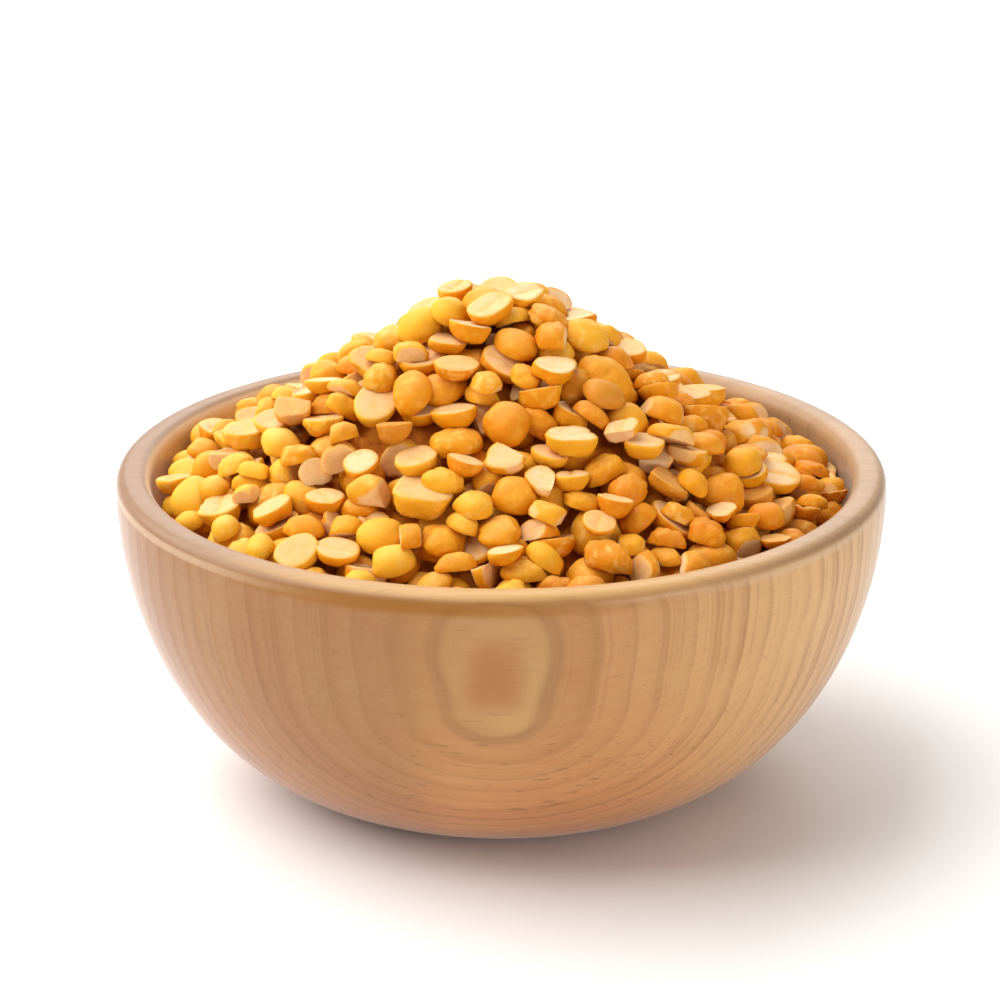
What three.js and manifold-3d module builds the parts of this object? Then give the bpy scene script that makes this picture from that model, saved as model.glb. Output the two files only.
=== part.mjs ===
// A turned wooden bowl, heaped with dry yellow split lentils.
// Millimetres, +Z up. The origin is the centre of the bowl's flat foot, on the surface it stands on.
import * as THREE from "three";
import { mergeVertices } from "three/addons/utils/BufferGeometryUtils.js";
import Module from "manifold-3d";

// Bowl: one piece of wood, turned on a lathe.
const BOWL_RADIUS = 60; // at its widest, just under the rim
const BOWL_HEIGHT = 51;
const WIDEST_HEIGHT = 48.2;
const FOOT_RADIUS = 23;
const BODY_ROUNDNESS = { up: 1.89, out: 2.1 }; // exponents of the superellipse; 2 is a plain ellipse
const RIM_OUTER_ROUND = 3.4; // how far in from the widest radius the rounded lip reaches its top
const RIM_INNER_ROUND = { across: 1.85, down: 1.7 };
const FLOOR_HEIGHT = 7; // thickness of the wood under the hollow
const FLOOR_RADIUS = 16;
const HOLLOW_ROUNDNESS = { up: 2.0, out: 2.1 };
const BOWL_SIDES = 60;
const BODY_STEPS = 9;
const HOLLOW_STEPS = 7;
const LIP_STEPS = 3;
const MOUTH_RADIUS = BOWL_RADIUS - RIM_OUTER_ROUND - RIM_INNER_ROUND.across;
const MOUTH_HEIGHT = BOWL_HEIGHT - RIM_INNER_ROUND.down;

// Heap: a cone with a rounded top, which starts a little under the rim.
const FIT_GAP = 0.3; // between the contents and the wood
const HEAP_PEAK_HEIGHT = 81;
const HEAP_EDGE_DROP = 3.6; // from the rim's top down to the lentils along the wall
const HEAP_TOP_ROUND = 11; // radius over which the peak is rounded off
const HEAP_FOOT_SOFTNESS = 0.16; // how much the slope eases towards the wall
const HEAP_LOPSIDE = { height: 0.9, lobes: 3, turn: 3.9 };
const CORE_DEPTH = 2.8; // the solid core lies this far under the lentils' tops
const CORE_SIDES = 24;
const CORE_RINGS = 6;

// One lentil: a split half with a flat cut face and a domed back.
const LENTIL = { width: 7.0, spread: 0.9, thickness: 0.5, sides: 6 };
const SPREAD_LIMIT = 1.6; // no lentil is further from the mean width than this many spreads
const LENTIL_BEAK = 0.08; // the outline is drawn out a little on one side
const LENTIL_RINGS = [
  { radius: 0.95, height: 0 },
  { radius: 0.83, height: 0.55 },
];
const LENTIL_COUNT = 208;
const WALL_ROOM = 2.5; // from the wall to the middle of the outermost lentils
const INSET = { step: 1, tries: 6 }; // a lentil that meets the wall moves in by steps
const LENTIL_SINK = 0.9; // how far a lentil's underside lies in the core, at least
const LENTIL_PROUD = 0.6; // how far a lentil may stand over the heap's slope
const LEVELNESS = 0.55; // 0 lies flat on the slope, 1 lies level
const TILT_SPREAD = 0.26; // radians, one standard deviation away from that
const FACE_UP_SHARE = 0.36;
const ON_EDGE_SHARE = 0.1;
const GOLDEN_ANGLE = Math.PI * (3 - Math.sqrt(5));
const WELD_DISTANCE = 1e-4; // corners nearer than this are one corner
const UP = new THREE.Vector3(0, 0, 1);

const wasm = await Module();
wasm.setup();

// A repeatable random number from 0 to 1.
function makeRandom(seed) {
  let state = seed;
  return () => {
    state = (state + 0x6d2b79f5) | 0;
    let mixed = Math.imul(state ^ (state >>> 15), 1 | state);
    mixed = (mixed + Math.imul(mixed ^ (mixed >>> 7), 61 | mixed)) ^ mixed;
    return ((mixed ^ (mixed >>> 14)) >>> 0) / 4294967296;
  };
}

const random = makeRandom(20);

function randomNormal() {
  const around = 2 * Math.PI * random();
  return Math.sqrt(-2 * Math.log(1 - random())) * Math.cos(around);
}

// Points of a quarter superellipse, from (innerRadius, low) to (outerRadius, high), as [radius, height].
function quarterCurve({ innerRadius, outerRadius, low, high, roundness, steps }) {
  return Array.from({ length: steps + 1 }, (_, i) => {
    const angle = (i / steps) * (Math.PI / 2);
    const across = Math.sin(angle) ** (2 / roundness.out);
    const rise = 1 - Math.max(Math.cos(angle), 0) ** (2 / roundness.up);
    return [innerRadius + (outerRadius - innerRadius) * across, low + (high - low) * rise];
  });
}

function hollowCurve(gap) {
  return quarterCurve({
    innerRadius: FLOOR_RADIUS,
    outerRadius: MOUTH_RADIUS - gap,
    low: FLOOR_HEIGHT + gap,
    high: MOUTH_HEIGHT,
    roundness: HOLLOW_ROUNDNESS,
    steps: HOLLOW_STEPS,
  });
}

// The hollow's radius at a height, read off its curve.
function hollowRadius(height, gap) {
  if (height >= MOUTH_HEIGHT) return MOUTH_RADIUS - gap;
  const curve = hollowCurve(gap);
  const above = Math.max(1, curve.findIndex(([, z]) => z >= height));
  const [[r0, z0], [r1, z1]] = [curve[above - 1], curve[above]];
  return r0 + ((r1 - r0) * (height - z0)) / (z1 - z0);
}

function bowlGeometry() {
  const body = quarterCurve({
    innerRadius: FOOT_RADIUS,
    outerRadius: BOWL_RADIUS,
    low: 0,
    high: WIDEST_HEIGHT,
    roundness: BODY_ROUNDNESS,
    steps: BODY_STEPS,
  });
  const crown = BOWL_RADIUS - RIM_OUTER_ROUND;
  const lip = Array.from({ length: 2 * LIP_STEPS }, (_, i) => {
    const angle = ((i + 1) / LIP_STEPS) * (Math.PI / 2);
    const outside = angle <= Math.PI / 2;
    const across = outside ? RIM_OUTER_ROUND : RIM_INNER_ROUND.across;
    const down = outside ? BOWL_HEIGHT - WIDEST_HEIGHT : RIM_INNER_ROUND.down;
    return [crown + across * Math.cos(angle), BOWL_HEIGHT - down * (1 - Math.sin(angle))];
  });
  const hollow = hollowCurve(0).reverse().slice(1);
  const points = [[0, 0], ...body, ...lip, ...hollow, [0, FLOOR_HEIGHT]];
  return latheAroundZ(points, BOWL_SIDES);
}

// LatheGeometry turns about Y, so its result is stood up along Z.
function latheAroundZ(points, sides) {
  const profile = points.map(([radius, height]) => new THREE.Vector2(radius, height));
  return new THREE.LatheGeometry(profile, sides).rotateX(Math.PI / 2);
}

// Height of the lentils' tops over the foot, at a point of the plan.
function heapHeight(x, y) {
  const radius = Math.hypot(x, y);
  const edge = BOWL_HEIGHT - HEAP_EDGE_DROP;
  const rise = HEAP_PEAK_HEIGHT - edge;
  const rounded = Math.sqrt(radius ** 2 + HEAP_TOP_ROUND ** 2) - HEAP_TOP_ROUND;
  const reach = Math.sqrt(MOUTH_RADIUS ** 2 + HEAP_TOP_ROUND ** 2) - HEAP_TOP_ROUND;
  const down = Math.min(rounded / reach, 1);
  const slope = down + HEAP_FOOT_SOFTNESS * down * (1 - down);
  const waist = 4 * down * (1 - down);
  const around = Math.atan2(y, x) * HEAP_LOPSIDE.lobes + HEAP_LOPSIDE.turn;
  return edge + rise * (1 - slope) + HEAP_LOPSIDE.height * waist * Math.sin(around);
}

function heapNormal(x, y) {
  const step = 0.5;
  const alongX = (heapHeight(x + step, y) - heapHeight(x - step, y)) / (2 * step);
  const alongY = (heapHeight(x, y + step) - heapHeight(x, y - step)) / (2 * step);
  return new THREE.Vector3(-alongX, -alongY, 1).normalize();
}

// The closed body under the lentils: the hollow's shape below, the heap's slope above. It is turned
// with a level top first, and then every corner of that top is set on the slope.
function coreGeometry() {
  const edge = BOWL_HEIGHT - HEAP_EDGE_DROP - CORE_DEPTH;
  const inBowl = hollowCurve(FIT_GAP).filter(([, z]) => z < edge);
  const edgeRadius = inBowl[inBowl.length - 1][0];
  const onTop = Array.from({ length: CORE_RINGS + 1 }, (_, i) => [edgeRadius * (1 - i / CORE_RINGS), edge]);
  const geometry = latheAroundZ([[0, FLOOR_HEIGHT + FIT_GAP], ...inBowl, ...onTop], CORE_SIDES);
  const place = geometry.getAttribute("position");
  for (let i = 0; i < place.count; i++) {
    if (place.getZ(i) < edge - WELD_DISTANCE) continue;
    place.setZ(i, heapHeight(place.getX(i), place.getY(i)) - CORE_DEPTH);
  }
  return geometry;
}

// One split lentil about its flat face's centre, the face down and the dome up.
function lentilGeometry(width) {
  const height = width * LENTIL.thickness;
  const { sides } = LENTIL;
  const corners = [];
  for (const ring of LENTIL_RINGS)
    for (let i = 0; i < sides; i++) {
      const angle = (2 * Math.PI * i) / sides;
      const reach = (width / 2) * ring.radius * (1 + LENTIL_BEAK * Math.cos(angle) ** 3);
      corners.push(reach * Math.cos(angle), reach * Math.sin(angle), ring.height * height);
    }
  corners.push(0, 0, height);
  const apex = 2 * sides;
  const faces = [];
  for (let i = 0; i < sides; i++) {
    const next = (i + 1) % sides;
    faces.push(i, next, sides + next, i, sides + next, sides + i);
    faces.push(sides + i, sides + next, apex);
    if (i > 0 && next > 0) faces.push(0, next, i);
  }
  return new THREE.BufferGeometry()
    .setAttribute("position", new THREE.Float32BufferAttribute(corners, 3))
    .setIndex(faces);
}

// A lentil lying on the heap at a point of the plan: between level and flat on the slope, as lentils in
// loose layers do, face up or face down, and now and then on its edge.
function lyingLentil(x, y) {
  const off = THREE.MathUtils.clamp(randomNormal(), -SPREAD_LIMIT, SPREAD_LIMIT);
  const width = LENTIL.width + LENTIL.spread * off;
  const outward = heapNormal(x, y);
  const onEdge = random() < ON_EDGE_SHARE;
  const faceUp = random() < FACE_UP_SHARE;
  const lean = onEdge ? Math.PI / 2 : TILT_SPREAD * randomNormal();
  const leanAxis = new THREE.Vector3(1, 0, 0).applyAxisAngle(UP, 2 * Math.PI * random());
  const turn = new THREE.Quaternion()
    .setFromUnitVectors(UP, outward.clone().lerp(UP, LEVELNESS).normalize())
    .multiply(new THREE.Quaternion().setFromAxisAngle(leanAxis, lean + (faceUp ? Math.PI : 0)))
    .multiply(new THREE.Quaternion().setFromAxisAngle(UP, 2 * Math.PI * random()));
  const geometry = lentilGeometry(width).applyQuaternion(turn);
  const place = geometry.getAttribute("position");
  const corner = new THREE.Vector3();
  const levels = [];
  for (let i = 0; i < place.count; i++) levels.push(corner.fromBufferAttribute(place, i).dot(outward));
  const [lowest, highest] = [Math.min(...levels), Math.max(...levels)];
  const sink = Math.max(LENTIL_SINK, highest - lowest - CORE_DEPTH - LENTIL_PROUD);
  const seat = new THREE.Vector3(x, y, heapHeight(x, y) - CORE_DEPTH);
  seat.addScaledVector(outward, -lowest - sink);
  return geometry.translate(seat.x, seat.y, seat.z);
}

// Whether every corner is inside the hollow, or over the rim.
function clearOfBowl(geometry) {
  const place = geometry.getAttribute("position");
  for (let i = 0; i < place.count; i++) {
    const reach = Math.hypot(place.getX(i), place.getY(i));
    if (reach > hollowRadius(place.getZ(i), FIT_GAP)) return false;
  }
  return true;
}

function solidOf(geometry) {
  const bare = geometry.clone();
  bare.deleteAttribute("normal");
  bare.deleteAttribute("uv");
  const merged = mergeVertices(bare, WELD_DISTANCE);
  const vertProperties = merged.getAttribute("position").array;
  const triVerts = new Uint32Array(merged.index.array);
  return new wasm.Manifold(new wasm.Mesh({ numProp: 3, vertProperties, triVerts }));
}

function geometryOf(solid) {
  const { vertProperties, triVerts } = solid.getMesh();
  return new THREE.BufferGeometry()
    .setAttribute("position", new THREE.BufferAttribute(vertProperties, 3))
    .setIndex(new THREE.BufferAttribute(triVerts, 1));
}

// The core with its top layer of lentils fused on, spread evenly by the golden angle.
function heapGeometry() {
  let heap = solidOf(coreGeometry());
  for (let i = 0; i < LENTIL_COUNT; i++) {
    const spot = Math.min(MOUTH_RADIUS * Math.sqrt((i + 0.5) / LENTIL_COUNT), MOUTH_RADIUS - WALL_ROOM);
    for (let attempt = 0; attempt < INSET.tries; attempt++) {
      const radius = spot - attempt * INSET.step;
      const x = radius * Math.cos(i * GOLDEN_ANGLE);
      const y = radius * Math.sin(i * GOLDEN_ANGLE);
      const lentil = lyingLentil(x, y);
      if (!clearOfBowl(lentil)) continue;
      heap = heap.add(solidOf(lentil));
      break;
    }
  }
  const [whole] = heap.decompose().sort((a, b) => b.volume() - a.volume());
  return geometryOf(whole);
}

function part(name, geometry, color, roughness) {
  const mesh = new THREE.Mesh(geometry, new THREE.MeshStandardMaterial({ color, roughness, metalness: 0 }));
  mesh.name = name;
  return mesh;
}

const root = new THREE.Group();
root.add(part("bowl", bowlGeometry(), 0xd2a377, 0.5));
root.add(part("lentils", heapGeometry(), 0xf2a93b, 0.55));
export default root;
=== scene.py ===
"""A turned wooden bowl, heaped with dry yellow split pulses. Metres, +Z up, round the bowl's axis."""

import math

import bmesh
import bpy
import numpy as np
from mathutils import Matrix, Quaternion, Vector
from mathutils.bvhtree import BVHTree


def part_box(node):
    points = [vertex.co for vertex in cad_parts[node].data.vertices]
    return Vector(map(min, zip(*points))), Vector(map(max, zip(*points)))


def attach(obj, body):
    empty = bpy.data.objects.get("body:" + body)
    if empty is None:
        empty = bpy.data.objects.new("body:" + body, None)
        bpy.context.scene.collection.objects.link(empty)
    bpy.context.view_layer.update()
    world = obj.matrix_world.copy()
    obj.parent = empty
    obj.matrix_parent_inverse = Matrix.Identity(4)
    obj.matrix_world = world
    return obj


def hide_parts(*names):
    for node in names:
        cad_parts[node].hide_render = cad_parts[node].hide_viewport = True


MM = 0.001

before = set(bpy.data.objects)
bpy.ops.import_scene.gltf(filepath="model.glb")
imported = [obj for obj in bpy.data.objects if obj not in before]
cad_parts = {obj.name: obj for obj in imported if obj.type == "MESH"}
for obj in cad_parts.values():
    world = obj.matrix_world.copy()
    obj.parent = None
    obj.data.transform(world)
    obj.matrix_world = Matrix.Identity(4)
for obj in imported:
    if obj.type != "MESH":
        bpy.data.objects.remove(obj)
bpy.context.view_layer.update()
scene = bpy.context.scene


# ----------------------------------------------------------------------------------------------
# Bowl. One block of pale beech, turned outside and inside on a lathe, sanded and oiled. The
# block came from beside the heart of a trunk that lay along X, so the year rings are wide
# cylinders, and the nearest of them close into a bull's eye on the bowl's front.
# ----------------------------------------------------------------------------------------------

bowl_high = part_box("bowl")[1]
BOWL_RADIUS = bowl_high[0]
BOWL_HEIGHT = bowl_high[2]
WIDEST_HEIGHT = 48.2 * MM
FOOT_RADIUS = 23 * MM
FOOT_ROUND = 0.7 * MM
BODY_UP, BODY_OUT = 1.89, 2.1  # exponents of the superellipse; 2 is a plain ellipse
LIP_OUTER = 3.4 * MM
LIP_INNER = 2.0 * MM
LIP_DROP = 2.4 * MM
LIP_SQUARE = 0.66  # 1 is a plain ellipse, less is squarer
FLOOR_HEIGHT = 7 * MM
FLOOR_RADIUS = 16 * MM
HOLLOW_UP, HOLLOW_OUT = 2.0, 2.1
MOUTH_RADIUS = BOWL_RADIUS - LIP_OUTER - LIP_INNER
MOUTH_HEIGHT = BOWL_HEIGHT - LIP_DROP
BOWL_SIDES = 240
FOOT_STEPS, BODY_STEPS, LIP_STEPS, HOLLOW_STEPS = 4, 44, 8, 40


def quarter_curve(inner, outer, low, high, up, out, steps):
    """A quarter of a superellipse as (radius, height), level at `inner` and upright at `outer`."""
    turn = np.linspace(0, math.pi / 2, steps + 1)
    radius = inner + (outer - inner) * np.sin(turn) ** (2 / out)
    height = low + (high - low) * (1 - np.cos(turn).clip(0) ** (2 / up))
    return np.column_stack([radius, height])


def hollow_curve(gap, steps):
    """The inside of the bowl, or a surface that stays `gap` clear of it."""
    radii = FLOOR_RADIUS - gap, MOUTH_RADIUS - gap
    heights = FLOOR_HEIGHT + gap, MOUTH_HEIGHT
    return quarter_curve(*radii, *heights, HOLLOW_UP, HOLLOW_OUT, steps)


def turned_wall(outline, sides):
    """The points and faces of a wall turned from an outline of (radius, height), open at its ends."""
    turn = np.arange(sides) * (2 * math.pi / sides)
    verts = np.empty((len(outline), sides, 3))
    verts[:, :, 0] = outline[:, :1] * np.cos(turn)
    verts[:, :, 1] = outline[:, :1] * np.sin(turn)
    verts[:, :, 2] = outline[:, 1:]
    faces = []
    for ring in range(len(outline) - 1):
        for side in range(sides):
            a = ring * sides + side
            b = ring * sides + (side + 1) % sides
            faces.append((a, b, b + sides, a + sides))
    return verts.reshape(-1, 3), faces


def turned(name, outline, sides):
    """A closed piece turned from an outline of (radius, height) that starts and ends on the axis."""
    verts, faces = turned_wall(outline[1:-1], sides)
    first, last = len(verts), len(verts) + 1
    top = len(verts) - sides
    for side in range(sides):
        following = (side + 1) % sides
        faces.append((following, side, first))
        faces.append((top + side, top + following, last))
    verts = np.concatenate([verts, [(0, 0, outline[0][1]), (0, 0, outline[-1][1])]])
    return solid(name, verts, faces)


def solid(name, verts, faces):
    """A smooth-shaded object with this mesh."""
    mesh = bpy.data.meshes.new(name)
    mesh.from_pydata([tuple(v) for v in verts], [], faces)
    mesh.shade_smooth()
    piece = bpy.data.objects.new(name, mesh)
    scene.collection.objects.link(piece)
    return piece


def lip_curve(steps):
    """The rounded lip, from the widest place over the top to the mouth."""
    turn = np.linspace(0, math.pi / 2, steps + 1)[1:]
    top_radius = BOWL_RADIUS - LIP_OUTER
    outer = np.column_stack([
        top_radius + LIP_OUTER * np.cos(turn).clip(0) ** LIP_SQUARE,
        WIDEST_HEIGHT + (BOWL_HEIGHT - WIDEST_HEIGHT) * np.sin(turn) ** LIP_SQUARE,
    ])
    inner = np.column_stack([
        top_radius - LIP_INNER * np.sin(turn),
        MOUTH_HEIGHT + LIP_DROP * np.cos(turn),
    ])
    return np.concatenate([outer, inner])


under_foot = [(0, 0), (FOOT_RADIUS * 0.6, 0)]
foot_edge = quarter_curve(FOOT_RADIUS - FOOT_ROUND, FOOT_RADIUS, 0, FOOT_ROUND, 2, 2, FOOT_STEPS)
body = quarter_curve(FOOT_RADIUS, BOWL_RADIUS, 0, WIDEST_HEIGHT, BODY_UP, BODY_OUT, BODY_STEPS)
body = body[body[:, 1] > FOOT_ROUND]
hollow = hollow_curve(0, HOLLOW_STEPS)[::-1][1:]
inside_floor = [(FLOOR_RADIUS * 0.5, FLOOR_HEIGHT), (0, FLOOR_HEIGHT)]
profile = np.concatenate([under_foot, foot_edge, body, lip_curve(LIP_STEPS), hollow, inside_floor])
bowl = turned("turned_bowl", profile, BOWL_SIDES)


class Shade:
    """One output of a material's nodes. Arithmetic on it adds the Math nodes that work it out."""

    def __init__(self, tree, socket=None):
        self.tree = tree
        self.socket = socket

    def node(self, kind, settings, inputs, output=0):
        """Adds a node, sets it up, then feeds its sockets with values or with other shades."""
        made = self.tree.nodes.new("ShaderNode" + kind)
        settings = dict(settings)
        stops = settings.pop("stops", None)
        for name, value in settings.items():
            setattr(made, name, value)
        if stops:
            ramp = made.color_ramp.elements
            while len(ramp) < len(stops):
                ramp.new(1)
            for element, (place, value) in zip(ramp, stops):
                element.position = place
                element.color = (*value, 1)
        for name, value in inputs.items():
            if isinstance(value, Shade):
                self.tree.links.new(value.socket, made.inputs[name])
            elif isinstance(value, tuple) and made.inputs[name].type == "RGBA":
                made.inputs[name].default_value = (*value, 1)
            else:
                made.inputs[name].default_value = value
        return Shade(self.tree, made.outputs[output] if made.outputs else None)

    def maths(self, operation, *values):
        return self.node("Math", {"operation": operation}, dict(enumerate(values)))

    def __add__(self, other):
        return self.maths("ADD", self, other)

    def __sub__(self, other):
        return self.maths("SUBTRACT", self, other)

    def __rsub__(self, other):
        return self.maths("SUBTRACT", other, self)

    def __mul__(self, other):
        return self.maths("MULTIPLY", self, other)

    def __truediv__(self, other):
        return self.maths("DIVIDE", self, other)

    def __pow__(self, other):
        return self.maths("POWER", self, other)

    __radd__ = __add__
    __rmul__ = __mul__

    def at_least(self, least):
        return self.maths("MAXIMUM", self, least)

    def at_most(self, most):
        return self.maths("MINIMUM", self, most)

    def between(self, low, high):
        """0 below `low`, 1 above `high` and a soft step from one to the other."""
        settings = {"interpolation_type": "SMOOTHSTEP"}
        return self.node("MapRange", settings, {"Value": self, "From Min": low, "From Max": high})

    def band(self, start, full, fading, end):
        """1 from `full` to `fading`, with a soft step up to it from `start` and down to `end`."""
        return self.between(start, full) * (1 - self.between(fading, end))

    def mix(self, first, second):
        """The colour `first` where this shade is 0, and `second` where it is 1."""
        return self.node("Mix", {"data_type": "RGBA"}, {0: self, 6: first, 7: second}, output=2)

    def scaled(self, x, y, z):
        """This vector with each of its parts multiplied."""
        return self.node("VectorMath", {"operation": "MULTIPLY"}, {0: self, 1: (x, y, z)})

    def noise(self, scale, detail=2, roughness=0.5):
        """Noise from 0 to 1 at this place, with `scale` grains a metre."""
        inputs = {"Vector": self, "Scale": scale, "Detail": detail, "Roughness": roughness}
        return self.node("TexNoise", {}, inputs)


def new_material(name):
    """An empty material, and a shade to start its nodes from."""
    material = bpy.data.materials.new(name)
    material.use_nodes = True
    material.node_tree.nodes.clear()
    return material, Shade(material.node_tree)


def show(surface):
    """Makes this shader the one that the material shows."""
    surface.node("OutputMaterial", {}, {"Surface": surface})


HEART_Y, HEART_Z = -90 * MM, 20.0 * MM  # the trunk's heart, a line along X
FRONT_REACH = 33.64 * MM  # from the heart to the nearest wood, on the bowl's front
HEART_SLANT = 0.0155  # how far the heart draws away from the bowl for each metre to the right
BEND_HEIGHT = 34.3 * MM  # above this the trunk bends, and its rings run on nearly upright
BEND_ROUND = 4.5 * MM
BEND = 0.84
FIRST_RING = 0.89 * MM  # how far behind that nearest wood the first ring lies
RING_WIDTH = 1.20 * MM  # of the first year; each later one is wider by RING_GROWTH
RING_GROWTH = 0.20 * MM
YEARS_BEFORE = 20  # keeps a ring's number above 0 in front of the first one
RIPPLE = 0.14 * MM
SWAY_NEAR = 0.14 * MM  # how far the rings wander at the front; it grows with the depth behind it
SWAY_GROWTH, SWAY_REACH = 0.22, 45 * MM
STRIPE_SWAY = 9 * MM

# Soft steps on the bowl, each as the heights where it starts and where it is complete.
PLAIN_LIP = (48.5 * MM, 50 * MM)
PORES_SHOW = (38 * MM, 14 * MM)
LOW_WARMTH_ENDS = (2 * MM, 34 * MM)
SECOND_YEAR_SHOWS = (20 * MM, 34 * MM)
PALEST_ENDS = (35 * MM, 46 * MM)
LIP_WEAR = (48.6 * MM, 50.6 * MM)
INSIDE_WEAR = (36 * MM, 46 * MM)
LIP_SHINE = (48.6 * MM, 49.8 * MM)
LIP_HIGHLIGHT_FROM = (50.0 * MM, 50.8 * MM)

# The same from left to right, from front to back, out from the axis and behind the nearest wood.
LEFT_SHADE_WEAKENS, STRIPE_ENDS = (-54 * MM, -40 * MM), (-19 * MM, -5 * MM)
RIGHT_LIGHT_FROM = (10 * MM, 48 * MM)
PALEST_FROM = (-6 * MM, 3 * MM)
WALL_LIGHT_ENDS = (-30 * MM, 10 * MM)
FRONT_ENDS = (-58 * MM, -38 * MM)
OUTER_RADII = (57 * MM, 58 * MM)
NEWEST_ENDS = (0.60 * MM, 0.90 * MM)

# Bands on the bowl, each as the places where it starts, is full, starts to fade and ends.
GOLD_AND_SHADE_HEIGHTS = (47.3 * MM, 48.7 * MM, 49.6 * MM, 50.5 * MM)
GOLD_AND_SHADE_PLACES = (-50 * MM, -38 * MM, -20 * MM, 36 * MM)
WALL_LIGHT_HEIGHTS = (36 * MM, 44 * MM, 50.2 * MM, 50.9 * MM)
GROOVE_SHADE_HEIGHTS = (49.6 * MM, 50.0 * MM, 50.3 * MM, 50.7 * MM)
BEAD_HIGHLIGHT_HEIGHTS = (48.2 * MM, 48.8 * MM, 49.3 * MM, 49.8 * MM)
FIRST_LINE_DEPTHS = (0.70 * MM, 0.84 * MM, 0.90 * MM, 1.05 * MM)
SECOND_YEAR_DEPTHS = (0.75 * MM, 1.0 * MM, 1.8 * MM, 2.3 * MM)
BARE_LATEWOOD = {"x": -0.8 * MM, "z": 38.5 * MM, "half_width": 3.6 * MM, "half_height": 4.9 * MM}

PALE_WOOD = (0.510, 0.288, 0.112)
WARM_WOOD = (0.455, 0.202, 0.071)
LOW_WOOD = (0.545, 0.188, 0.056)
PAINTED_RIGHT_LIGHT = (0.660, 0.385, 0.165)
DARK_STRIPE_AND_LEFT_SHADE = (0.220, 0.078, 0.028)
NEWEST_WOOD = (0.560, 0.335, 0.130)
RING_LINE = (0.260, 0.112, 0.040)
HEART_STAIN = (0.345, 0.132, 0.042)
LIP_GOLD_AND_SHADE = (0.300, 0.112, 0.008)
LIP_TOP_HIGHLIGHT = (0.640, 0.380, 0.120)
WORN_LIP = (0.270, 0.162, 0.084)
PAINTED_WALL_LIGHT = (0.800, 0.600, 0.390)
LIP_GROOVE_SHADE = (0.270, 0.140, 0.070)
LIP_BEAD_HIGHLIGHT = (0.600, 0.430, 0.280)
PORE = (0.170, 0.070, 0.026)


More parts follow.
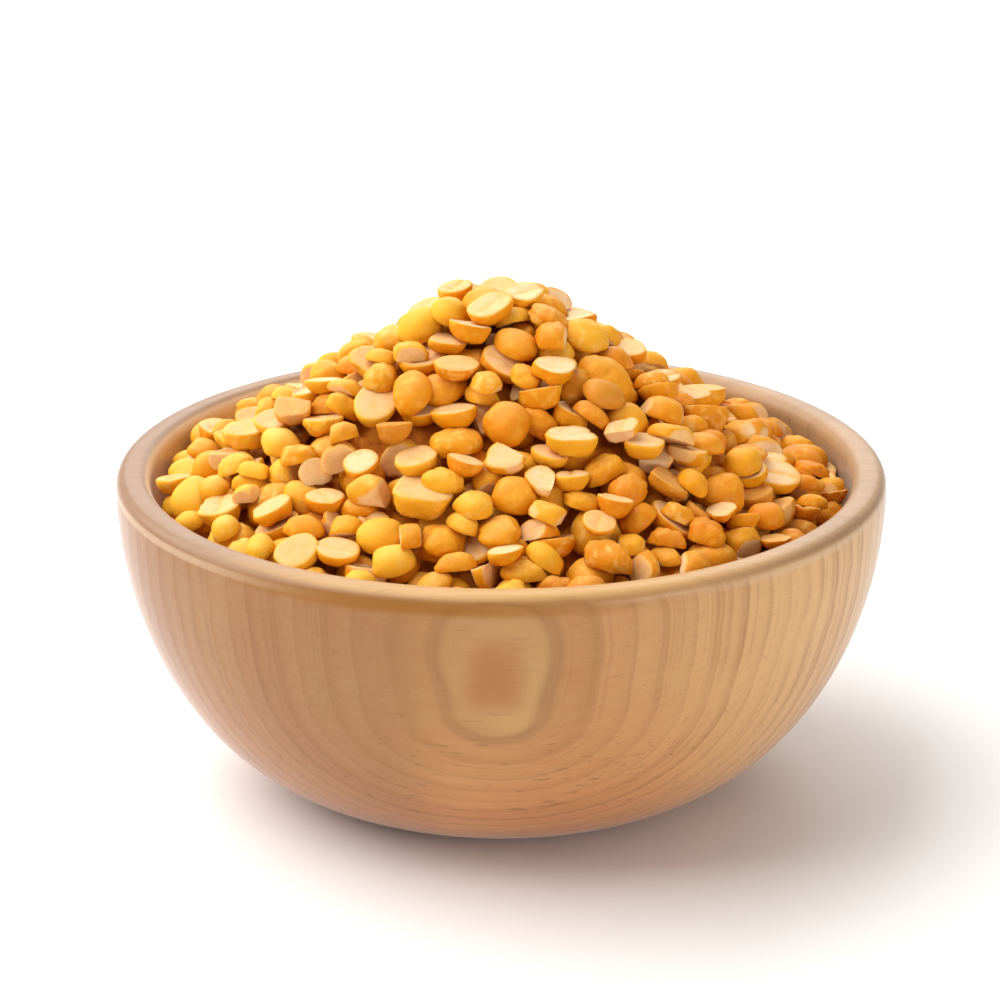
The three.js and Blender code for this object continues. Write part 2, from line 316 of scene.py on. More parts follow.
def beech():
    """Oiled beech: year rings, the fibres and pores that lie along X, a lip gone golden with painted
    shade under it, and painted light and shade on the lip, the sides and the inner wall.
    """
    material, start = new_material("oiled_beech")
    place = start.node("TexCoord", {}, {}, output="Object")
    parts = start.node("SeparateXYZ", {}, {0: place})
    x, y, z = (Shade(start.tree, parts.socket.node.outputs[name]) for name in "XYZ")

    over_bend = z - BEND_HEIGHT
    upright = (over_bend + (over_bend ** 2 + BEND_ROUND ** 2) ** 0.5) * (BEND / 2)
    from_heart = y + HEART_SLANT * x - HEART_Y
    behind = (from_heart ** 2 + (z - upright - HEART_Z) ** 2) ** 0.5 - FRONT_REACH
    sway = place.scaled(0.55, 1, 1).noise(38, detail=3) - 0.5
    ripple = place.scaled(0.6, 1, 1).noise(260, detail=3) - 0.5
    swing = SWAY_NEAR + SWAY_GROWTH * behind.at_most(SWAY_REACH)
    swayed = behind + sway * swing + ripple * RIPPLE
    past_first = (swayed - FIRST_RING) / RING_GROWTH
    first_years = RING_WIDTH / RING_GROWTH
    year = (past_first * 2 + first_years ** 2).at_least(0) ** 0.5 - first_years + YEARS_BEFORE
    within = year.maths("FRACT", year)
    count = year.maths("FLOOR", year)
    uneven = start.node("TexWhiteNoise", {"noise_dimensions": "1D"}, {"W": count})
    along_rings = {"W": swayed, "Scale": 780, "Detail": 5, "Roughness": 0.68}
    streaks = start.node("TexNoise", {"noise_dimensions": "1D"}, along_rings)
    good_years = start.node("TexNoise", {"noise_dimensions": "1D"}, {"W": swayed, "Scale": 150})

    calm = 1 - 0.6 * z.between(*PLAIN_LIP)
    late = within.band(0.30, 0.88, 0.90, 1.0) * calm
    line = within.band(0.76, 0.90, 0.91, 1.0) * calm
    fibre = place.scaled(0.12, 1, 1).noise(900, detail=3, roughness=0.6)
    broad = place.scaled(0.6, 1, 1).noise(30, detail=3)
    patches = place.scaled(0.5, 1, 1).noise(85, detail=2)
    flecks = place.scaled(0.13, 1, 1).noise(1500, detail=2)
    pores = flecks.between(0.62, 0.70) * (0.3 + 0.7 * z.between(*PORES_SHOW))

    warm = (broad + good_years - 0.5).between(0.32, 0.68) * 0.7 + (fibre - 0.5) * 0.9
    wood = warm.mix(PALE_WOOD, WARM_WOOD)
    low_warmth = 1 - z.between(*LOW_WARMTH_ENDS)
    wood = (low_warmth * 0.70).mix(wood, LOW_WOOD)
    aside = x + sway * STRIPE_SWAY
    # A dark stripe in the wood, with painted shade over the left side of the body that is strongest at
    # the far left.
    stripe_and_left_shade = (1.2 - 0.4 * aside.between(*LEFT_SHADE_WEAKENS)) * (1 - aside.between(*STRIPE_ENDS))
    wood = (stripe_and_left_shade * 0.55).mix(wood, DARK_STRIPE_AND_LEFT_SHADE)
    # Painted light: the right side of the body is paler, as if lit from the right.
    wood = (aside.between(*RIGHT_LIGHT_FROM) * 0.70).mix(wood, PAINTED_RIGHT_LIGHT)
    wood = (late * (0.05 + 0.30 * uneven)).mix(wood, RING_LINE)
    fine_lines = streaks.between(0.46, 0.70) * patches.between(0.30, 0.65) * calm
    wood = (fine_lines * 0.45).mix(wood, RING_LINE)
    wood = (line * patches.between(0.25, 0.6) * (0.06 + 0.44 * uneven)).mix(wood, RING_LINE)
    newest = 1 - behind.between(*NEWEST_ENDS)
    palest = x.between(*PALEST_FROM) * (1 - 0.6 * z.between(*PALEST_ENDS))
    wood = (newest * (0.20 + 0.34 * palest)).mix(wood, NEWEST_WOOD)
    wood = (behind.band(*FIRST_LINE_DEPTHS) * 0.36).mix(wood, RING_LINE)
    second_year = behind.band(*SECOND_YEAR_DEPTHS) * z.between(*SECOND_YEAR_SHOWS)
    wood = (second_year * 0.18).mix(wood, RING_LINE)
    across = (x - BARE_LATEWOOD["x"]) / BARE_LATEWOOD["half_width"]
    up = (z - BARE_LATEWOOD["z"]) / BARE_LATEWOOD["half_height"]
    bare = 1 - ((across ** 4 + up ** 4) ** 0.5 + ripple).between(-0.2, 2.4)
    in_front = 1 - y.between(*FRONT_ENDS)
    wood = (bare * in_front * 0.78).mix(wood, HEART_STAIN)
    outside = (x ** 2 + y ** 2).between(*(radius ** 2 for radius in OUTER_RADII))
    # A golden band under the lip, with painted shade where the lip turns down over the body.
    golden_and_shaded = z.band(*GOLD_AND_SHADE_HEIGHTS) * x.band(*GOLD_AND_SHADE_PLACES) * in_front * outside
    wood = (golden_and_shaded * (0.6 + 0.8 * patches)).mix(wood, LIP_GOLD_AND_SHADE)
    worn = z.between(*LIP_WEAR).at_least((1 - outside) * z.between(*INSIDE_WEAR))
    wood = (worn * (0.40 + 0.40 * patches) * (1 - 0.75 * in_front)).mix(wood, WORN_LIP)
    # Painted highlight along the top of the lip at the front.
    wood = (z.between(*LIP_HIGHLIGHT_FROM) * in_front * 0.6).mix(wood, LIP_TOP_HIGHLIGHT)
    # Painted light: the inner wall at the left, which lies in the lip's shade, is made pale.
    painted_wall_light = (1 - outside) * z.band(*WALL_LIGHT_HEIGHTS) * (1 - x.between(*WALL_LIGHT_ENDS))
    wood = (painted_wall_light * 0.95).mix(wood, PAINTED_WALL_LIGHT)
    # Painted shade of a groove along the lip's outer corner, which the turned profile does not have.
    groove = z.band(*GROOVE_SHADE_HEIGHTS) * outside * (1 - in_front)
    wood = (groove * 0.5).mix(wood, LIP_GROOVE_SHADE)
    # Painted highlight of a bead along the lip, which the turned profile does not have.
    bead_highlight = z.band(*BEAD_HIGHLIGHT_HEIGHTS) * outside * (1 - in_front)
    wood = (bead_highlight * 0.5).mix(wood, LIP_BEAD_HIGHLIGHT)
    wood = (pores * 0.5).mix(wood, PORE)

    grain = fibre * 0.5 + (1 - pores) * 0.6
    relief = start.node("Bump", {}, {"Strength": 0.22, "Distance": 0.10 * MM, "Height": grain})
    edge_on = start.node("LayerWeight", {}, {"Blend": 0.30}, output="Facing")
    surface = start.node("BsdfPrincipled", {}, {
        "Base Color": wood,
        "Roughness": 0.46 + 0.16 * fibre + 0.1 * late,
        "Normal": relief,
        "Coat Weight": (0.06 + 0.9 * edge_on ** 2).at_least(z.between(*LIP_SHINE) * 0.3),
        "Coat Roughness": 0.24,
        "Sheen Weight": 0.24,
        "Sheen Roughness": 0.35,
        "Specular IOR Level": 0.28,
    })
    show(surface)
    return material


bowl.data.materials.append(beech())
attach(bowl, "root")
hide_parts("bowl")


# ----------------------------------------------------------------------------------------------
# Core of the heap: the pulses that nobody sees, as one body that fills the hollow and rises
# under the heap's slope. Its top is a bed of lumps the size of the halves that lie on it.
# ----------------------------------------------------------------------------------------------

PEAK_HEIGHT = 80.4 * MM
EDGE_HEIGHT = BOWL_HEIGHT - 3.0 * MM
PEAK_ASIDE = -0.6 * MM
TOP_ROUND = 11 * MM
FOOT_SOFTNESS = 0.16
LOPSIDE = 1.5 * MM
LOBES, LOBE_TURN = 3, 3.9
CORE_DEPTH = 8 * MM
WALL_GAP = 0.3 * MM
CORE_SIDES = 96
CORE_RINGS = 40
CORE_CURVE_STEPS = 24
LUMP = 1.1 * MM  # height of the lumps on its top
LUMP_X, LUMP_Y = 1.35 * MM, 1.2 * MM  # lengths of the waves that make the lumps, over 2 pi
WINDING_X, WINDING_Y = 3.3 * MM, 2.9 * MM  # and of the waves that set the lumps out of line


def heap_height(x, y):
    """The slope that the pulses' tops follow: a cone with a round peak, a little lopsided."""
    radius = np.hypot(x - PEAK_ASIDE, y)
    rounded = np.sqrt(radius ** 2 + TOP_ROUND ** 2) - TOP_ROUND
    reach = math.sqrt(MOUTH_RADIUS ** 2 + TOP_ROUND ** 2) - TOP_ROUND
    down = np.minimum(rounded / reach, 1)
    slope = down + FOOT_SOFTNESS * down * (1 - down)
    waist = 4 * down * (1 - down)
    lopsided = LOPSIDE * waist * np.sin(LOBES * np.arctan2(y, x) + LOBE_TURN)
    return EDGE_HEIGHT + (PEAK_HEIGHT - EDGE_HEIGHT) * (1 - slope) + lopsided


core_edge = EDGE_HEIGHT - CORE_DEPTH
under = hollow_curve(WALL_GAP, CORE_CURVE_STEPS)
under = under[under[:, 1] < core_edge]
wall_radii, wall_heights = hollow_curve(WALL_GAP, 200).T
rim = np.interp(core_edge, wall_heights, wall_radii)
top_radii = np.linspace(rim, 0, CORE_RINGS + 1)
top = np.column_stack([top_radii, np.full(len(top_radii), core_edge)])
core = turned("heap_core", np.concatenate([[(0, FLOOR_HEIGHT + WALL_GAP)], under, top]), CORE_SIDES)
core_points = np.empty(len(core.data.vertices) * 3)
core.data.vertices.foreach_get("co", core_points)
core_points = core_points.reshape(-1, 3)
on_top = core_points[:, 2] > core_edge - 0.01 * MM
x, y = core_points[on_top, 0], core_points[on_top, 1]
rows = np.sin(x / LUMP_X + 2 * np.sin(y / WINDING_Y))
columns = np.sin(y / LUMP_Y + 2 * np.sin(x / WINDING_X))
core_points[on_top, 2] = heap_height(x, y) - CORE_DEPTH + LUMP * (rows * columns)
core.data.vertices.foreach_set("co", core_points.ravel())
core.data.update()

DEEP_SHADE = (0.420, 0.100, 0.008)
DEEP_GOLD = (0.600, 0.210, 0.018)


def buried_pulses():
    """The deep orange of pulses in the shade of the ones above them."""
    material, start = new_material("buried_pulses")
    place = start.node("TexCoord", {}, {}, output="Object")
    mottle = place.noise(420, detail=3)
    colour = mottle.between(0.35, 0.65).mix(DEEP_SHADE, DEEP_GOLD)
    relief = start.node("Bump", {}, {"Strength": 0.4, "Distance": 0.5 * MM, "Height": mottle})
    surface = start.node("BsdfPrincipled", {}, {
        "Base Color": colour,
        "Roughness": 0.55 + 0.2 * mottle,
        "Normal": relief,
        "Specular IOR Level": 0.1,
    })
    show(surface)
    return material


core.data.materials.append(buried_pulses())
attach(core, "root")
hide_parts("lentils")


# ----------------------------------------------------------------------------------------------
# Shape of the pulses. Each is half of a husked seed, split in the mill: a domed back, a flat
# cut face with a shallow groove where the germ lay, and an outline drawn out to a blunt beak.
# Some have dried wrinkled, and some lost a side when they were split.
# ----------------------------------------------------------------------------------------------

HALF_WIDTH_MEAN, HALF_WIDTH_SPREAD = 6.9 * MM, 0.9 * MM
HALF_WIDTH_LEAST, HALF_WIDTH_MOST = 5.2 * MM, 9.8 * MM
SIDES = 22
FACE_RADII = np.array([0.26, 0.54, 0.80, 0.955])
EDGE_ROUND = 0.07  # height of the cut face's blunt edge, of the half's thickness
DOME_ROWS = 7
SHOULDER, CROWN = 2.5, 2.1  # exponents of the dome; 2 is an ellipse, more is squarer
KINDS = {
    "plump": {"share": 0.46, "lump": 0.025, "wrinkle": 0.004, "cuts": 0, "square": (2.0, 2.3)},
    "wrinkled": {"share": 0.27, "lump": 0.050, "wrinkle": 0.055, "cuts": 0, "square": (2.0, 3.0)},
    "chipped": {"share": 0.27, "lump": 0.035, "wrinkle": 0.020, "cuts": 2, "square": (2.0, 3.0)},
}
DEPTH_OF_WIDTH = (0.76, 0.98)  # the least and the most, as shares of the half's width
HEIGHT_OF_WIDTH = (0.34, 0.51)
# Down to CUT_AWAY, lengths are on a half of radius 1 and height 1, before it gets its size.
BEAK_LEAST, BEAK_MOST = 0.0, 0.13
LEAN = 0.07
SWELLS, SWELL_WAVES = 3, 3.2  # how many swellings wander over a half, and how closely they wave
CREASES, CREASE_WAVES, CREASE_DEPTH = 2, 3.6, 1.6
SWELL_ON_CUT, CREASE_ON_CUT = 0.35, 0.5  # what is left of them on the flat cut face
SWELL_MIDDLE = 0.35  # height of the point that they swell from
GROOVE_MOST, GROOVE_WIDTH, GROOVE_END = 0.12, 0.16, -0.55
HOLLOWED, CROWNED = -0.03, 0.06  # the limits of how far the cut face is from flat
CUT_NEAREST, CUT_FARTHEST = 0.32, 0.88  # from the middle of the half to a side that broke off
CUT_TILT = 0.3
CUT_AWAY = 0.97  # how much of what lies beyond a break is gone
NEXT_CUT_LEAST, NEXT_CUT_MOST = 1.2, 3.6  # radians round the half, from one break to the next
FLESH_INSIDE, FLESH_AT_RIM = 0.85, 0.55
MIDDLE_HEIGHT = 0.38  # of the middle that a half turns round, as a share of its height
ANY_PHASE = 6.3  # a full turn, in radians

random = np.random.default_rng(11)


def half_rows():
    """Radius and height of each row of a half, from its cut face over the edge to the crown."""
    turn = np.linspace(0, math.pi / 2, DOME_ROWS + 1)[:-1]
    dome_radii = np.cos(turn) ** (2 / SHOULDER)
    dome_heights = EDGE_ROUND + (1 - EDGE_ROUND) * np.sin(turn) ** (2 / CROWN)
    radii = np.concatenate([FACE_RADII, dome_radii])
    heights = np.concatenate([np.zeros(len(FACE_RADII)), dome_heights])
    return radii, heights


ROW_RADII, ROW_HEIGHTS = half_rows()
ROWS = len(ROW_RADII)


def half_faces():
    """The faces of one half: a fan on the cut face, bands of squares and a fan on the crown."""
    faces = []
    for side in range(SIDES):
        following = (side + 1) % SIDES
        faces.append((0, 1 + following, 1 + side))
        for row in range(ROWS - 1):
            a = 1 + row * SIDES + side
            b = 1 + row * SIDES + following
            faces.append((a, b, b + SIDES, a + SIDES))
        top = 1 + (ROWS - 1) * SIDES
        faces.append((top + side, top + following, 1 + ROWS * SIDES))
    return faces


HALF_FACES = half_faces()
HALF_POINTS = 2 + ROWS * SIDES
ON_CUT_FACE = np.arange(HALF_POINTS) <= len(FACE_RADII) * SIDES
INNER_RING, OUTER_RING = (1 + row * SIDES + np.arange(SIDES) for row in (2, 3))
HULL_POINTS = np.concatenate([
    [0, HALF_POINTS - 1],
    *[1 + row * SIDES + np.arange(0, SIDES, 2) for row in (3, 4, 6, 8, 10)],
])


def make_half(kind, mean_width):
    """One half: its points round its middle, and how much of the pale flesh shows at each."""
    width = np.clip(random.normal(mean_width, HALF_WIDTH_SPREAD), HALF_WIDTH_LEAST, HALF_WIDTH_MOST)
    depth = width * random.uniform(*DEPTH_OF_WIDTH)
    height = width * random.uniform(*HEIGHT_OF_WIDTH)
    around = np.arange(SIDES) * (2 * math.pi / SIDES)
    beak = random.uniform(BEAK_LEAST, BEAK_MOST)
    square = random.uniform(*kind["square"])
    outline = (np.abs(np.cos(around)) ** square + np.abs(np.sin(around)) ** square) ** (-1 / square)
    outline += beak * np.cos(around) ** 3
    for lobes in (2, 3, 4):
        lobe = kind["lump"] * random.normal() / lobes * 2
        outline += lobe * np.cos(lobes * around + random.uniform(0, ANY_PHASE))
    points = np.zeros((HALF_POINTS, 3))
    ring = points[1:-1].reshape(ROWS, SIDES, 3)
    ring[:, :, 0] = ROW_RADII[:, None] * outline * np.cos(around)
    ring[:, :, 1] = ROW_RADII[:, None] * outline * np.sin(around)
    ring[:, :, 2] = ROW_HEIGHTS[:, None]
    points[-1, 2] = 1

    lean = random.normal(0, LEAN, 2)
    points[:, 0] += lean[0] * points[:, 2]
    points[:, 1] += lean[1] * points[:, 2]
    swell = np.zeros(HALF_POINTS)
    for _ in range(SWELLS):
        wave = random.normal(0, SWELL_WAVES, 3)
        swell += np.sin(points @ wave + random.uniform(0, ANY_PHASE)) * kind["lump"]
    crease = np.zeros(HALF_POINTS)
    for _ in range(CREASES):
        wave = random.normal(0, CREASE_WAVES, 3)
        fold = 1 - np.abs(np.sin(points @ wave + random.uniform(0, ANY_PHASE)))
        crease -= fold ** 2 * kind["wrinkle"] * CREASE_DEPTH
    swell[ON_CUT_FACE] *= SWELL_ON_CUT
    crease[ON_CUT_FACE] *= CREASE_ON_CUT
    middle = np.array([0, 0, SWELL_MIDDLE])
    points += (points - middle) * (swell + crease)[:, None]
    groove = GROOVE_MOST * random.random() ** 2
    along = (points[:, 0] > GROOVE_END) & ON_CUT_FACE
    in_groove = np.exp(-(points[along, 1] / GROOVE_WIDTH) ** 2)
    points[along, 2] += groove * in_groove
    from_rim = 1 - np.hypot(*points[ON_CUT_FACE, :2].T) ** 2
    points[ON_CUT_FACE, 2] += random.uniform(HOLLOWED, CROWNED) * from_rim

    flesh = ON_CUT_FACE.astype(float)
    flesh[INNER_RING] = FLESH_INSIDE
    flesh[along] -= groove * 4 * in_groove
    flesh[OUTER_RING] = FLESH_AT_RIM
    away = random.uniform(0, 2 * math.pi)
    for _ in range(kind["cuts"]):
        normal = np.array([math.cos(away), math.sin(away), random.normal(0, CUT_TILT)])
        normal /= np.linalg.norm(normal)
        beyond = points @ normal - random.uniform(CUT_NEAREST, CUT_FARTHEST)
        broken = beyond > 0
        flesh = np.maximum(flesh, 0.5 + 2 * beyond)
        points[broken] -= beyond[broken, None] * normal * CUT_AWAY
        away += random.uniform(NEXT_CUT_LEAST, NEXT_CUT_MOST)
    points *= (width / 2, depth / 2, height)
    points[:, 2] -= height * MIDDLE_HEIGHT
    return points, flesh


# ----------------------------------------------------------------------------------------------
# Pouring the pulses. They fall a few millimetres, layer after layer, on the core and on the
# ones already at rest, wherever the heap is still lowest. Half way up all of them settle
# together, and more layers fill the heap, the last ones with smaller halves for its gaps.
# ----------------------------------------------------------------------------------------------

LARGE = 100  # the settling runs at this scale, because the solver wants bodies of about 1
LAYERS = 17
FILL_AFTER = 11  # layers before smaller halves fall into the gaps
FILL_WIDTH_MEAN = 6.0 * MM
SETTLE_AFTER = 9  # layers before they all settle together
LAYER_FRAMES = 22
SETTLE_FRAMES = 16
STEPS_A_FRAME = 10
PULL = 12.0  # of gravity at that scale, in metres a second squared
FRICTION = 1.5
WALL_MARGIN, HALF_MARGIN = 0.005, 0.002  # at that scale, how far off bodies already touch
TRIES_A_LAYER = 1500
APART = 7.4 * MM  # between the middles of the halves of one layer, so that few start inside another
EDGE_ROOM = 3.6 * MM  # from the wall to the middle of a half as it falls
SQUEEZE = 0.93  # of a half's true size for the settling, so that they lie close
FOOT_PRINT = 2.4 * MM  # round a place, how far out the height of what lies there is felt
FEELERS = [(0, 0)] + [(math.cos(i * math.pi / 3), math.sin(i * math.pi / 3)) for i in range(6)]
ROOM_LEFT = 2.0 * MM  # a place is full when this much or less is left below the slope
MIDDLE_BELOW = 0.8 * MM  # a half is taken off if its middle comes to rest less than this below it
DROP = 4.6 * MM
FLAT_SPREAD, FLAT_MOST = 0.26, 0.48  # radians from level: one standard deviation, and the limit
DOME_UP_SHARE = 0.69
FUNNEL = 40 * MM  # height of a funnel on the mouth, which keeps the falling halves in
FUNNEL_FOOT, FUNNEL_FLARE = 0.6 * MM, 2 * MM  # outside the mouth below, and the bowl above
FUNNEL_SIDES = 64
FUNNEL_CURVE_STEPS = 16


class Pulse:
    """One half in the heap: its kind, its points, its pale flesh and its stand-in for the settling."""

    def __init__(self, kind_name, mean_width, place):
        self.kind = kind_name
        self.points, self.flesh = make_half(KINDS[kind_name], mean_width)
        stand_in = bmesh.new()
        for point in self.points[HULL_POINTS] * (LARGE * SQUEEZE):
            stand_in.verts.new(point)
        bmesh.ops.convex_hull(stand_in, input=stand_in.verts)
        mesh = bpy.data.meshes.new("stand_in")
        stand_in.to_mesh(mesh)
        stand_in.free()
        self.body = bpy.data.objects.new("stand_in", mesh)
        scene.collection.objects.link(self.body)
        over = 0 if random.random() < DOME_UP_SHARE else math.pi
        tip = np.clip(random.normal(0, FLAT_SPREAD), -FLAT_MOST, FLAT_MOST) + over
        heading = random.uniform(0, 2 * math.pi)
        spin = Quaternion((0, 0, 1), random.uniform(0, 2 * math.pi))
        turn = Quaternion((math.cos(heading), math.sin(heading), 0), tip) @ spin
        self.body.matrix_world = Matrix.Translation(Vector(place) * LARGE) @ turn.to_matrix().to_4x4()

    def placed(self):
        """Its points where it lies, in metres."""
        at = np.array(self.body.matrix_world)
        return self.points @ at[:3, :3].T + at[:3, 3] / LARGE


def settle(moving, still, walls, frames):
    """Lets the moving bodies fall on the still ones for this many frames, and leaves them there."""
    bpy.ops.rigidbody.world_add()
    world = scene.rigidbody_world
    world.substeps_per_frame = STEPS_A_FRAME
    world.solver_iterations = 12
    world.point_cache.frame_start = 1
    world.point_cache.frame_end = frames + 1
    world.collection = bpy.data.collections.new("settling")
    for body in [*walls, *still, *moving]:
        world.collection.objects.link(body)
        physics = body.rigid_body
        physics.type = "ACTIVE" if body in moving else "PASSIVE"
        physics.collision_shape = "MESH" if body in walls else "CONVEX_HULL"
        physics.friction = FRICTION
        physics.restitution = 0
        physics.use_margin = True
        physics.collision_margin = WALL_MARGIN if body in walls else HALF_MARGIN
        physics.linear_damping = 0.3
        physics.angular_damping = 1.0
    for step in range(1, frames + 1):
        scene.frame_set(step)
    seen = bpy.context.evaluated_depsgraph_get()
    ends = [body.evaluated_get(seen).matrix_world.copy() for body in moving]
    collection = world.collection
    bpy.ops.rigidbody.world_remove()
    bpy.data.collections.remove(collection)
    scene.frame_set(1)
    for body, end in zip(moving, ends):
        body.matrix_world = end


def surface_of(pulses):
    """What a pulse that comes down would meet: the core and the pulses at rest."""
    verts = np.concatenate([core_points, *[pulse.placed() for pulse in pulses]])
    faces = list(core_faces)
    for n in range(len(pulses)):
        start = len(core_points) + n * HALF_POINTS
        faces += [tuple(i + start for i in face) for face in HALF_FACES]
    return BVHTree.FromPolygons(verts.tolist(), faces)


def low_places(surface):
    """Places on the heap that are still too low, the lowest first, each clear of the others."""
    found = []
    for _ in range(TRIES_A_LAYER):
        radius = (MOUTH_RADIUS - EDGE_ROOM) * math.sqrt(random.random())
        around = random.uniform(0, 2 * math.pi)
        x, y = radius * math.cos(around), radius * math.sin(around)
        heights = []
        for dx, dy in FEELERS:
            hit = surface.ray_cast((x + dx * FOOT_PRINT, y + dy * FOOT_PRINT, 1), (0, 0, -1))[0]
            heights.append(hit.z if hit else core_edge)
        room = heap_height(x, y) - (sum(heights) / len(heights) + max(heights)) / 2
        if room > ROOM_LEFT:
            found.append((room, x, y, max(heights) + DROP))
    found.sort(reverse=True)
    chosen = []
    for _, x, y, z in found:
        if all(math.hypot(x - a, y - b) > APART for a, b, _ in chosen):
            chosen.append((x, y, z))
    return chosen


def take_away(body):
    """Removes a body of the settling and its mesh."""
    mesh = body.data
    bpy.data.objects.remove(body)
    bpy.data.meshes.remove(mesh)


def lies_well(pulse):
    """True for a half inside the bowl whose middle is far enough under the heap's slope."""
    x, y, z = pulse.body.matrix_world.translation / LARGE
    inside = math.hypot(x, y) < MOUTH_RADIUS - EDGE_ROOM / 2
    return inside and core_edge < z < heap_height(x, y) - MIDDLE_BELOW


def pour():
    """Fills the heap and gives its pulses, each where it came to rest."""
    wall_points, wall_faces = turned_wall(np.concatenate([
        hollow_curve(WALL_GAP, FUNNEL_CURVE_STEPS),
        [(MOUTH_RADIUS + FUNNEL_FOOT, BOWL_HEIGHT), (BOWL_RADIUS + FUNNEL_FLARE, BOWL_HEIGHT + FUNNEL)],
    ]), FUNNEL_SIDES)
    walls = [
        solid("funnel", wall_points * LARGE, wall_faces),
        solid("bed", core_points * LARGE, core_faces),
    ]
    scene.gravity = (0, 0, -PULL)
    names = list(KINDS)
    shares = [KINDS[name]["share"] for name in names]
    resting = []
    for layer in range(LAYERS):
        places = low_places(surface_of(resting))
        mean_width = HALF_WIDTH_MEAN if layer < FILL_AFTER else FILL_WIDTH_MEAN
        falling = [Pulse(random.choice(names, p=shares), mean_width, place) for place in places]
        settle([p.body for p in falling], [p.body for p in resting], walls, LAYER_FRAMES)
        resting += falling
        if layer + 1 == SETTLE_AFTER:
            settle([p.body for p in resting], [], walls, SETTLE_FRAMES)
        for pulse in [p for p in resting if not lies_well(p)]:
            resting.remove(pulse)
            take_away(pulse.body)
    for wall in walls:
        take_away(wall)
    return resting


core_faces = [tuple(face.vertices) for face in core.data.polygons]
heap = pour()


# ----------------------------------------------------------------------------------------------
# The pulses as pieces, one for each kind. All are dry, husked and a little waxy: golden orange
# on the domed back, which takes more light through its rim, and pale cream on the cut flesh.
# Painted light makes the halves' tops paler, and those on the left yellower and paler.
# ----------------------------------------------------------------------------------------------

GOLD = (0.760, 0.300, 0.006)
ORANGE = (0.700, 0.215, 0.004)
YELLOW = (0.850, 0.440, 0.026)
PALE_DUST_AND_TOP_LIGHT = (0.900, 0.610, 0.220)
FLESH = (0.870, 0.605, 0.340)
FLESH_EDGE = (0.840, 0.480, 0.150)
ROSY_FLESH = (0.780, 0.450, 0.170)
TAN = (0.600, 0.230, 0.022)
SKIN_TO_FLESH = (0.42, 0.62)  # how much flesh shows where the skin ends and where it is gone
YELLOW_LEAST, YELLOW_MOST = 0.07, 0.92  # in the middle of the bowl
LEFT_LIGHT_YELLOWING = 0.42  # how much yellower a half is at the left wall than in the middle, as painted light from the left
TOP_LIGHT_LEAST, TOP_LIGHT_MOST = 0.3, 1.0
TOP_LIGHT_LEFT = 0.7  # how much more painted top light there is at the left wall, as a share


def pulse_material(name, bump, tan_share):
    """Dry pulse: tone differs from one to the next, mottled skin, pale flesh on the cut, and painted
    light on the tops.
    """
    material, start = new_material(name)
    place = start.node("TexCoord", {}, {}, output="Object")
    flesh = start.node("Attribute", {"attribute_name": "flesh"}, {}, output="Fac")
    tone = start.node("Attribute", {"attribute_name": "tone"}, {}, output="Fac")
    odd = start.node("Attribute", {"attribute_name": "odd"}, {}, output="Fac")
    painted_top_light = start.node("Attribute", {"attribute_name": "painted_top_light"}, {}, output="Fac")
    mottle = place.noise(700, detail=3)
    fine = place.noise(2600, detail=2)
    skin = tone.node("ValToRGB", {"stops": [(0.0, ORANGE), (0.55, GOLD), (1.0, YELLOW)]}, {0: tone})
    skin = (mottle.between(0.45, 0.70) * 0.40).mix(skin, YELLOW)
    bloom = odd.between(0.5, 1.0) * mottle.between(0.50, 0.66)
    # Painted light on the upward faces, more on the left; and a random pale bloom on some halves.
    skin = (painted_top_light * (0.10 + 0.40 * fine) + bloom * 0.35).mix(skin, PALE_DUST_AND_TOP_LIGHT)
    inside = odd.mix(FLESH, ROSY_FLESH)
    inside = flesh.between(0.55, 1.0).mix(FLESH_EDGE, inside)
    inside = (mottle.between(0.40, 0.70) * 0.25).mix(inside, GOLD)
    cut = flesh.between(*SKIN_TO_FLESH)
    colour = cut.mix(skin, inside)
    colour = (odd.between(1 - tan_share, 1.0) * 0.8).mix(colour, TAN)
    grain = mottle + fine * 0.35
    relief = start.node("Bump", {}, {"Strength": bump, "Distance": 0.25 * MM, "Height": grain})
    surface = start.node("BsdfPrincipled", {"subsurface_method": "RANDOM_WALK"}, {
        "Base Color": colour,
        "Roughness": 0.48 + 0.22 * mottle,
        "Normal": relief,
        "Subsurface Weight": 0.20,
        "Subsurface Radius": (1.0, 0.45, 0.08),
        "Subsurface Scale": 1.4 * MM,
        "Specular IOR Level": 0.08,
        "Coat Weight": 0.15 * (1 - cut),
        "Coat Roughness": 0.34,
    })
    show(surface)
    return material


def sideways(pulses):
    """How far to the side each half lies: -1 at the bowl's left wall, 1 at its right wall."""
    return np.array([pulse.placed()[:, 0].mean() for pulse in pulses]) / MOUTH_RADIUS


def yellowness_and_left_light(pulses):
    """How yellow each half is: a random tone, with painted light that makes those on the left yellower.
    """
    own = random.random(len(pulses)) * (YELLOW_MOST - YELLOW_LEAST) + YELLOW_LEAST
    return np.clip(own - LEFT_LIGHT_YELLOWING * sideways(pulses), 0, 1)


def top_light_amounts(pulses):
    """How much painted light each half gets on its top. There is more of it on the left."""
    return random.uniform(TOP_LIGHT_LEAST, TOP_LIGHT_MOST, len(pulses)) * (1 - TOP_LIGHT_LEFT * sideways(pulses))


FINISHES = {
    "plump": pulse_material("smooth_pulse", 0.45, 0.03),
    "wrinkled": pulse_material("wrinkled_pulse", 1.0, 0.08),
    "chipped": pulse_material("chipped_pulse", 0.75, 0.06),
}

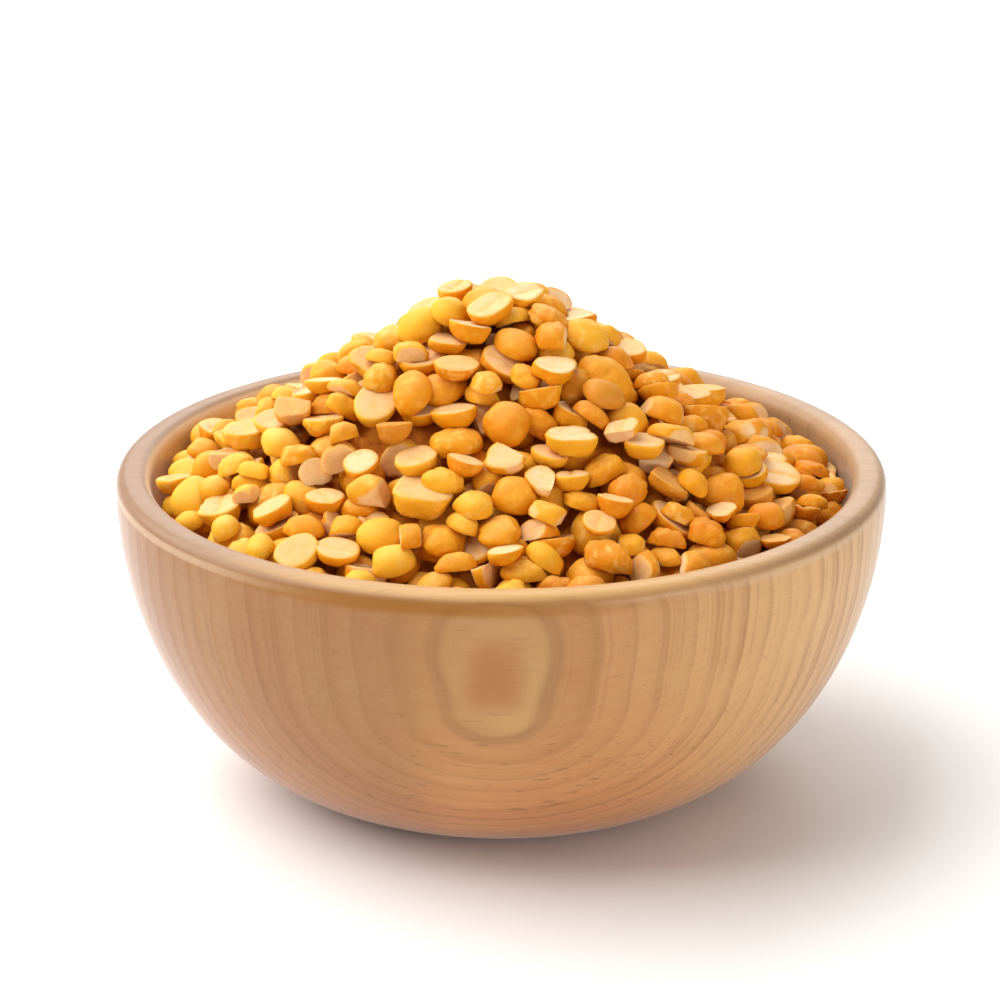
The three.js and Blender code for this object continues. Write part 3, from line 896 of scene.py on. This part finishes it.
for kind_name, finish in FINISHES.items():
    members = [pulse for pulse in heap if pulse.kind == kind_name]
    verts = np.concatenate([pulse.placed() for pulse in members])
    starts = [n * HALF_POINTS for n in range(len(members))]
    faces = [tuple(i + start for i in face) for start in starts for face in HALF_FACES]
    piece = solid(kind_name + "_halves", verts, faces)
    normals = np.empty(len(verts) * 3)
    piece.data.vertices.foreach_get("normal", normals)
    upward = np.clip(normals[2::3], 0, 1)
    values = {
        # painted light on the upward faces, more on the left
        "painted_top_light": upward ** 3 * np.repeat(top_light_amounts(members), HALF_POINTS),
        "flesh": np.concatenate([pulse.flesh for pulse in members]),
        # a random tone, yellower on the left as painted light
        "tone": np.repeat(yellowness_and_left_light(members), HALF_POINTS),
        "odd": np.repeat(random.random(len(members)), HALF_POINTS),
    }
    for attribute, numbers in values.items():
        layer = piece.data.attributes.new(attribute, "FLOAT", "POINT")
        layer.data.foreach_set("value", numbers)
    piece.data.materials.append(finish)
    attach(piece, "root")
    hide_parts("lentils")

for pulse in heap:
    take_away(pulse.body)


# ----------------------------------------------------------------------------------------------
# Studio: a pale floor without an edge in sight, a wide soft light overhead on the left, a
# weaker one low on the right that opens the bowl's side, one behind for the far rim, white
# surroundings, and a long lens.
# ----------------------------------------------------------------------------------------------

CAMERA_PLACE = Vector((0, -0.560, 0.2410))
LOOK_AT = Vector((-0.0002, 0, 0.0446))
LENS = 136.3
FLOOR_REACH = 3.0
FLOOR_WHITE = (0.93, 0.93, 0.93)
FLOOR_WHITER = (0.96, 0.96, 0.96)
ROOM_LIGHT = 0.35
LIT_POINT = Vector((0, 0, 50 * MM))

corners = [(-1, -1), (1, -1), (1, 1), (-1, 1)]
floor = solid("floor", [(a * FLOOR_REACH, b * FLOOR_REACH, 0) for a, b in corners], [(0, 1, 2, 3)])
floor_material, start = new_material("pale_floor")
grey = start.node("TexCoord", {}, {}, output="Object").noise(6)
show(start.node("BsdfPrincipled", {}, {
    "Base Color": (grey * 0.5).mix(FLOOR_WHITE, FLOOR_WHITER),
    "Roughness": 0.8,
}))
floor.data.materials.append(floor_material)


def soft_light(name, place, size, power, colour):
    """A square soft box that looks at the bowl."""
    light = bpy.data.lights.new(name, "AREA")
    light.size = size
    light.energy = power
    light.color = colour
    lamp = bpy.data.objects.new(name, light)
    scene.collection.objects.link(lamp)
    lamp.location = place
    lamp.rotation_euler = (LIT_POINT - Vector(place)).to_track_quat("-Z", "Y").to_euler()


soft_light("overhead_left", (-0.58, 0.10, 0.79), 1.35, 20.0, (1.0, 0.98, 0.95))
soft_light("low_right", (0.76, -0.82, 0.10), 0.6, 6.8, (1.0, 0.98, 0.96))
soft_light("behind", (0, 1.30, 0.85), 1.1, 10, (1.0, 1.0, 1.0))

world = bpy.data.worlds.new("white_room")
world.use_nodes = True
world.node_tree.nodes["Background"].inputs["Color"].default_value = (1, 1, 1, 1)
world.node_tree.nodes["Background"].inputs["Strength"].default_value = ROOM_LIGHT
scene.world = world

scene.view_settings.view_transform = "Standard"

camera = bpy.data.objects.new("camera", bpy.data.cameras.new("camera"))
scene.collection.objects.link(camera)
camera.data.lens = LENS
camera.data.clip_end = 20
camera.location = CAMERA_PLACE
camera.rotation_euler = (LOOK_AT - CAMERA_PLACE).to_track_quat("-Z", "Y").to_euler()
scene.camera = camera
